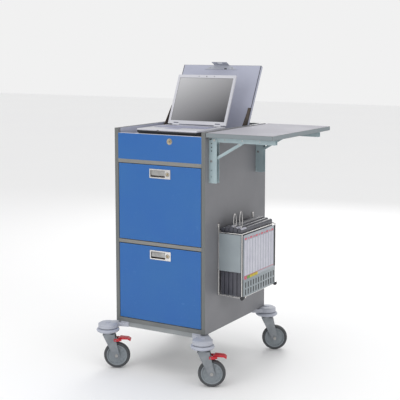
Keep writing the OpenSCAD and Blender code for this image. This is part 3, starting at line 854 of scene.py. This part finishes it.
def make_laptop_deck():
    """Keys, touchpad, speaker grilles, power button, latch and ports."""
    well = slab((LAPTOP_X - 143, LAPTOP_Y + 117, DECK - 0.5), (LAPTOP_X + 143, LAPTOP_Y + 229, DECK + 0.3),
                KEY_WELL, 0.3)
    pitch = 19
    columns = 15
    first_x = LAPTOP_X - 133
    cap = slab((-7.8, -7.8, 0), (7.8, 7.8, 1.2), KEYCAPS, 0.7)
    keys = [repeated(cap, columns, (first_x, LAPTOP_Y + 127.5, DECK + 0.2), (pitch, 0, 0), 5, (0, pitch, 0))]
    small = slab((-7.8, -3.2, 0), (7.8, 3.2, 1.0), KEYCAPS, 0.5)
    keys.append(repeated(small, columns, (first_x, LAPTOP_Y + 223.6, DECK + 0.2), (pitch, 0, 0)))
    settled("laptop_keyboard", [well] + keys, "tray", replaces=["laptop_keys"])
    pad = slab((LAPTOP_X - 40, LAPTOP_Y + 42, DECK - 0.3), (LAPTOP_X + 36, LAPTOP_Y + 96, DECK + 0.35), KEYCAPS, 0.4)
    buttons = repeated(
        slab((-18, -6, 0), (18, 6, 1.0), SILVER, 0.5), 2, (LAPTOP_X - 21, LAPTOP_Y + 32, DECK - 0.3), (38, 0, 0))
    grilles = []
    dot_pitch = 4.2
    for from_middle in (-136, 94):
        dot = turned([(0, 0), (1.2, 0), (1.2, 0.5), (0, 0.5)], BLACK, 8)
        grilles.append(repeated(
            dot, 11, (LAPTOP_X + from_middle, LAPTOP_Y + 240, DECK - 0.2), (dot_pitch, 0, 0), 3, (0, dot_pitch, 0)))
    power = turned([(0, -0.2), (6.5, -0.2), (6.5, 0.8), (5.5, 1.3), (0, 1.3)], SILVER, 24)
    power = moved(power, Matrix.Translation((LAPTOP_X, LAPTOP_Y + 246, DECK)))
    latch = slab(
        (LAPTOP_X - 52, LAPTOP_Y - 0.6, DECK - 6), (LAPTOP_X - 40, LAPTOP_Y + 1, DECK - 3.4), DARK_STEEL, 0.4)
    ports = repeated(
        slab((0, -7, -2.2), (1.2, 7, 2.2), KEY_WELL, 0.4), 3,
        (LAPTOP_X + LAPTOP_W / 2 - 0.9, LAPTOP_Y + 70, TRAY_TOP + 14), (0, 34, 0))
    settled("laptop_controls", [pad, buttons, *grilles, power, latch, ports], "tray")


def make_laptop_screen():
    """The screen housing, its display, the line round it and the hinge barrels."""
    softened("laptop_screen_housing", SILVER, None, 1.6)
    carried("laptop_display", PAINTED_SCREEN_SHEEN)
    half, bottom, top = 152, 21.6, 250.4
    line = 1.3
    sunk, proud = -1.9, -0.2
    bezel = []
    for x_low, y_low, x_high, y_high in (
            (-half, bottom, half, bottom + line), (-half, top - line, half, top),
            (-half - 0.4, bottom, -half + 0.9, top), (half - 0.9, bottom, half + 0.4, top)):
        bezel.append(slab((x_low, y_low, sunk), (x_high, y_high, proud), BLACK, 0.2))
    lens = turned([(0, -0.2), (2.6, -0.2), (2.6, 0.5), (1.6, 0.9), (0, 0.9)], BLACK, 20)
    lens_y = 258
    bezel.append(moved(lens, Matrix.Translation((0, lens_y, 0))))
    pad = turned([(0, -0.2), (2.0, -0.2), (2.0, 0.7), (0, 0.7)], KEY_WELL, 16)
    pads = repeated(pad, 2, (-44, lens_y, 0), (88, 0, 0))
    barrels = []
    for side in (-1, 1):
        barrel = turned([(0, -19), (4.6, -19), (4.6, 19), (0, 19)], SILVER, 24)
        barrels.append(moved(barrel, facing((1, 0, 0), (side * 118, 1.2, -4.2))))
    hinge_caps = repeated(slab((-14, 7.5, -0.4), (14, 12.5, 0.35), KEY_WELL, 0.3), 2, (-118, 0, 0), (236, 0, 0))
    settled("laptop_bezel", bezel + [pads, hinge_caps] + barrels, "screen", SCREEN_SPACE)


def make_tray():
    """The tray under the laptop and the carriages that lift it."""
    softened("laptop_tray", WHITE_LINING, None, 0.6)
    softened("lift_carriages", GALVANISED, None, 0.5)


# ---- Side shelf ----
BRACKET_Y = (46, 510)


def make_shelf():
    """The side shelf on its arms, legs and braces, with rivets and screws."""
    softened("shelf_board", SHELF_TOP, EDGE_BAND, 1.0)
    softened("bracket_arms", POWDER_COAT, None, 0.3, 1)
    softened("bracket_legs", POWDER_COAT, None, 0.4, 1)
    softened("shelf_braces", POWDER_COAT, None, 0.5, 1)
    softened("bracket_pins", SATIN_NICKEL, None, 0.8)
    arm_low, arm_high = span("bracket_arms")
    heads, dimples = [], []
    for y in BRACKET_Y:
        for side in (-1, 1):
            rivet = moved(dome_head(3.0, 0.35, SATIN_NICKEL), facing((0, side, 0)))
            heads.append(repeated(rivet, 3, (arm_low.x + 70, y + side * 9.5, arm_high.z - 11), (88, 0, 0)))
            dimple = turned([(0, -0.2), (3.2, -0.2), (3.2, 0.2), (2.2, 0.5), (0, 0.1)], BLACK, 16)
            dimple = moved(dimple, facing((0, side, 0)))
            dimples.append(repeated(dimple, 1, (HALF_W + 14, y + side * 12, 856), (0, 0, 0), 3, (0, 0, 17)))
        screw = moved(dome_head(4.0, 1.6, SATIN_NICKEL), facing((1, 0, 0)))
        dimples.append(repeated(screw, 1, (HALF_W + 2, y, 722), (0, 0, 0), 3, (0, 0, 78)))
    settled("shelf_arm_rivets", heads, "shelf")
    settled("bracket_leg_screws", dimples, "cabinet")
    brace_ends = []
    inset = 14
    foot = Vector((HALF_W + 13, 809))
    head = Vector((HALF_W + 165, 897))
    step = (head - foot).normalized() * inset
    between = head - foot - 2 * step
    for y in BRACKET_Y:
        for side in (-1, 1):
            knob = moved(dome_head(3.6, 0.5, SATIN_NICKEL), facing((0, side, 0)))
            start = (foot.x + step.x, y + side * 6, foot.y + step.y)
            brace_ends.append(repeated(knob, 2, start, (between.x, 0, between.y)))
    settled("brace_rivets", brace_ends, "braces")


# ---- Chart rack ----
def make_rack():
    """The wire rack, its panels, the binders and the cards on the index panel."""
    softened("rack_frame", CHROME, None, 0)
    softened("rack_end_panel", PANEL_GREY, None, 0.5)
    softened("rack_index_panel", CLEAR_GREY, None, 0.6)
    softened("chart_binders", BINDER, None, 0.5, 1)
    low, high = span("rack_index_panel")
    face = high.x
    strips = 11
    rear_band = 18
    pitch = (high.y - low.y - rear_band - 8) / strips
    first = low.y + 5 + pitch / 2
    strip = slab((-0.2, -pitch * 0.4, 0), (0.9, pitch * 0.4, high.z - low.z - 44), PAPER, 0.3, 1)
    parts = [repeated(strip, strips, (face, first, low.z + 18), (0, pitch, 0))]
    header = slab((-0.2, -pitch * 0.36, 0), (0.9, pitch * 0.36, 8), MARK_RED, 0.3, 1)
    parts.append(repeated(header, 6, (face, first, high.z - 22), (0, pitch * 2, 0)))
    small = slab((-0.2, -pitch * 0.2, 0), (0.9, pitch * 0.3, 5), MARK_RED, 0.3, 1)
    parts.append(repeated(small, 5, (face, first + pitch, high.z - 21), (0, pitch * 2, 0)))
    parts.append(slab(
        (face - 0.2, low.y + 5, low.z + 14.6), (face + 0.7, high.y - rear_band, low.z + 16.4), MARK_RED, 0.2))
    # A black strip along the index panel's rear band: painted shadow in the gap at its rear edge.
    parts.append(slab(
        (face - 0.2, high.y - rear_band + 2, low.z + 6), (face + 0.8, high.y - 1, high.z - 3), BLACK, 0.3))
    tab_size = ((-0.2, -pitch * 0.44, 0), (1.3, pitch * 0.44, 13))
    for count, offset, material in ((1, 0, MARK_RED), (1, 1, MARK_GREEN), (3, 2, MARK_YELLOW)):
        tab = slab(*tab_size, material, 0.4, 1)
        parts.append(repeated(tab, count, (face, first + offset * pitch, low.z + 0.5), (0, pitch, 0)))
    settled("index_cards_and_gap_shadow", parts, "cabinet")


def make_rack_slots():
    """The slotted plate under the index panel."""
    low, high = span("rack_index_panel")
    bottom = span("rack_frame")[0].z + 8
    plate = slab((high.x - 2.6, low.y, bottom), (high.x - 0.4, high.y - 2, low.z + 1), PANEL_GREY, 0.5)
    slots = 12
    pitch = (high.y - low.y - 12) / slots
    slot = slab((-0.2, -4.6, 0), (0.7, 4.6, 26), BLACK, 0.4)
    rows = repeated(slot, slots, (high.x - 0.4, low.y + 8 + pitch / 2, bottom + 8), (0, pitch, 0), 2, (0, 0, 34))
    settled("rack_slot_plate", [plate, rows], "cabinet")


def make_rack_ends():
    """A black cap on each lower outer corner of the rack."""
    low, high = span("rack_frame")
    outer = high.x
    caps = []
    for y in (low.y + 2, high.y - 14):
        cap = turned([(0, 0), (6.0, 0), (8.6, 1.5), (8.6, 10.5), (6.0, 12), (0, 12)], BLACK, 24)
        caps.append(moved(cap, facing((0, 1, 0), (outer - 7, y, low.z + 4.5))))
    settled("rack_end_caps", caps, "cabinet")


def make_binder_details():
    """Labels over the binders' rounded tops, and two standing rings."""
    low, high = span("chart_binders")
    pitch = (high.x - low.x + 3) / 5
    labels = []
    for index, depth, length in ((4, 4, 52), (3, 4, 44), (2, 6, 30)):
        centre = low.x + (pitch - 3) / 2 + index * pitch
        top = 490 + 4 * (2 - abs(index - 2))
        radius = (pitch - 3) / 2 + 0.35
        arc = [math.radians(a) for a in range(20, 161, 14)]
        bm = bmesh.new()
        rows = []
        for y in (low.y + depth, low.y + depth + length):
            rows.append([
                bm.verts.new((centre + radius * math.cos(a), y, top - 10 + radius * math.sin(a))) for a in arc])
        near, far = rows
        sheet = [bm.faces.new([near[i], near[i + 1], far[i + 1], far[i]]) for i in range(len(arc) - 1)]
        bmesh.ops.recalc_face_normals(bm, faces=sheet)
        bmesh.ops.solidify(bm, geom=sheet, thickness=0.4)
        labels.append(mesh_from(bm, "label", PAPER))
    loops = []
    ring_base = 492
    steps = [2 * math.pi * i / 28 for i in range(28)]
    for x, height in ((329, 557), (361, 570)):
        middle = (height + ring_base) / 2
        rise = (height - ring_base) / 2
        route = [(x + 7 * math.cos(a), low.y + 8, middle + rise * math.sin(a)) for a in steps]
        loops.append(swept(route, 1.5, CHROME, 8, closed=True))
    settled("binder_labels", labels, "cabinet")
    settled("binder_rings", loops, "cabinet")


# ---- Casters ----
def make_caster(side, row):
    """One caster's fork, wheel and tyre, with ribs, axle nuts and a collar."""
    name = f"{row}_{side}"
    softened(f"{name}_fork", FORK_METAL, None, 0.8)
    softened(f"{name}_wheel", RIM, None, 0.8)
    softened(f"{name}_tyre", TREAD, None, 1.6, 3)
    space = caster_space(side, row)
    axle = space @ Matrix.Translation((TRAIL, 0, WHEEL_R))
    ribs = []
    for face in (-1, 1):
        rib = slab((15, -0.9, -1.2), (42, 0.9, 1.2), RIM, 0.5)
        ring = repeated(rib, 12, (0, 0, 0), (0, 0, 0), turn=(0, 0, math.radians(30)))
        ribs.append(moved(ring, facing((0, face, 0), (0, face * WHEEL_FACE, 0))))
    settled(f"{name}_wheel_ribs", ribs, f"{name}_roller", axle)
    nuts = []
    for face in (-1, 1):
        nut_profile = [(0, -0.5), (8.5, -0.5), (8.5, 2.6), (7.4, 3.4), (4.5, 3.4), (4.5, 5.0), (0, 5.4)]
        nut = turned(nut_profile, SATIN_NICKEL, 6)
        nuts.append(moved(nut, facing((0, face, 0), (TRAIL, face * FORK_FACE, WHEEL_R))))
    collar = turned([(20, 0), (26, 0), (27, 2), (27, 6), (24, 8), (20, 8), (20, 0)], FORK_METAL, 40)
    nuts.append(moved(collar, Matrix.Translation((0, 0, FORK_TOP))))
    settled(f"{name}_axle_nuts", nuts, f"{name}_caster", space)


def make_brake(side):
    """A front caster's brake pedal with its grips."""
    name = f"front_{side}"
    softened(f"{name}_pedal", RED, None, 1.2, 2)
    grip = slab((-1.1, -12, -0.6), (1.1, 12, 1.0), RED, 0.5)
    ribs = repeated(grip, 5, (66, 0, PEDAL_TOP), (7.6, 0, -0.75))
    settled(f"{name}_pedal_grips", [ribs], f"{name}_brake", caster_space(side, "front"))


make_cabinet()
make_cabinet_fittings()
make_compartment_lining()
make_housing_fittings()
for level in ("lower", "upper"):
    make_drawer(level)
make_lid()
make_laptop_base()
make_laptop_deck()
make_laptop_screen()
make_tray()
make_shelf()
make_rack()
make_rack_slots()
make_rack_ends()
make_binder_details()
for row in ("front", "rear"):
    for side in ("left", "right"):
        make_caster(side, row)
for side in ("left", "right"):
    make_brake(side)


# ---- Studio ----
def make_floor():
    """A plain pale floor under the wheels."""
    bpy.ops.mesh.primitive_plane_add(size=40, location=(0, 0, cad_bounds[0].z - 0.0005))
    floor = bpy.context.object
    floor.name = "studio_floor"
    floor.data.materials.append(finish(
        "floor_paint", shade(250, 250, 250), shade(247, 247, 248), (0.6, 0.7), cloud=(0.6, 0.5), bump=0.02))


def softbox(name, place, aim, size, power):
    """A square area light that points at a place."""
    data = bpy.data.lights.new(name, "AREA")
    data.size = size
    data.energy = power
    light = bpy.data.objects.new(name, data)
    light.location = place
    light.rotation_euler = (Vector(aim) - Vector(place)).to_track_quat("-Z", "Y").to_euler()
    bpy.context.scene.collection.objects.link(light)


def make_lights():
    """Soft lights round the cart, and a pale backdrop that only the camera sees."""
    aim = (0, 0, 0.8)
    softbox("key_softbox", (-1.0, -4.4, 2.4), aim, 3.2, 52)
    softbox("fill_softbox", (4.2, -1.6, 2.2), aim, 2.6, 26)
    ceiling = bpy.data.lights.new("ceiling_light", "SUN")
    ceiling.energy = 0.9
    ceiling.angle = math.radians(70)
    bpy.context.scene.collection.objects.link(bpy.data.objects.new("ceiling_light", ceiling))
    softbox("rear_softbox", (-1.0, 4.0, 2.6), aim, 2.4, 45)
    world = bpy.data.worlds.new("studio")
    world.use_nodes = True
    tree = world.node_tree
    ambient = tree.nodes["Background"]
    ambient.inputs["Color"].default_value = (1.0, 1.0, 1.0, 1.0)
    ambient.inputs["Strength"].default_value = 0.6
    backdrop = tree.nodes.new("ShaderNodeBackground")
    backdrop.inputs["Color"].default_value = (1.0, 1.0, 1.0, 1.0)
    backdrop.inputs["Strength"].default_value = 0.88
    choice = tree.nodes.new("ShaderNodeMixShader")
    tree.links.new(tree.nodes.new("ShaderNodeLightPath").outputs["Is Camera Ray"], choice.inputs["Fac"])
    tree.links.new(ambient.outputs[0], choice.inputs[1])
    tree.links.new(backdrop.outputs[0], choice.inputs[2])
    tree.links.new(choice.outputs[0], tree.nodes["World Output"].inputs["Surface"])
    bpy.context.scene.world = world


def make_camera():
    """Seen from the front right, a little above the cabinet's top."""
    azimuth = math.radians(30.57)
    pitch = math.radians(7.22)
    distance = 4.79
    target = Vector((-0.088, 0.0246, 0.961))
    level = math.cos(pitch)
    back = Vector((math.sin(azimuth) * level, -math.cos(azimuth) * level, math.sin(pitch)))
    data = bpy.data.cameras.new("camera")
    data.lens = 87.88
    data.sensor_width = 36
    data.shift_y = -0.08
    camera = bpy.data.objects.new("camera", data)
    camera.location = target + back * distance
    camera.rotation_euler = (math.pi / 2 - pitch, 0, azimuth)
    bpy.context.scene.collection.objects.link(camera)
    bpy.context.scene.camera = camera


make_floor()
make_lights()
make_camera()
bpy.context.scene.view_settings.view_transform = "Standard"
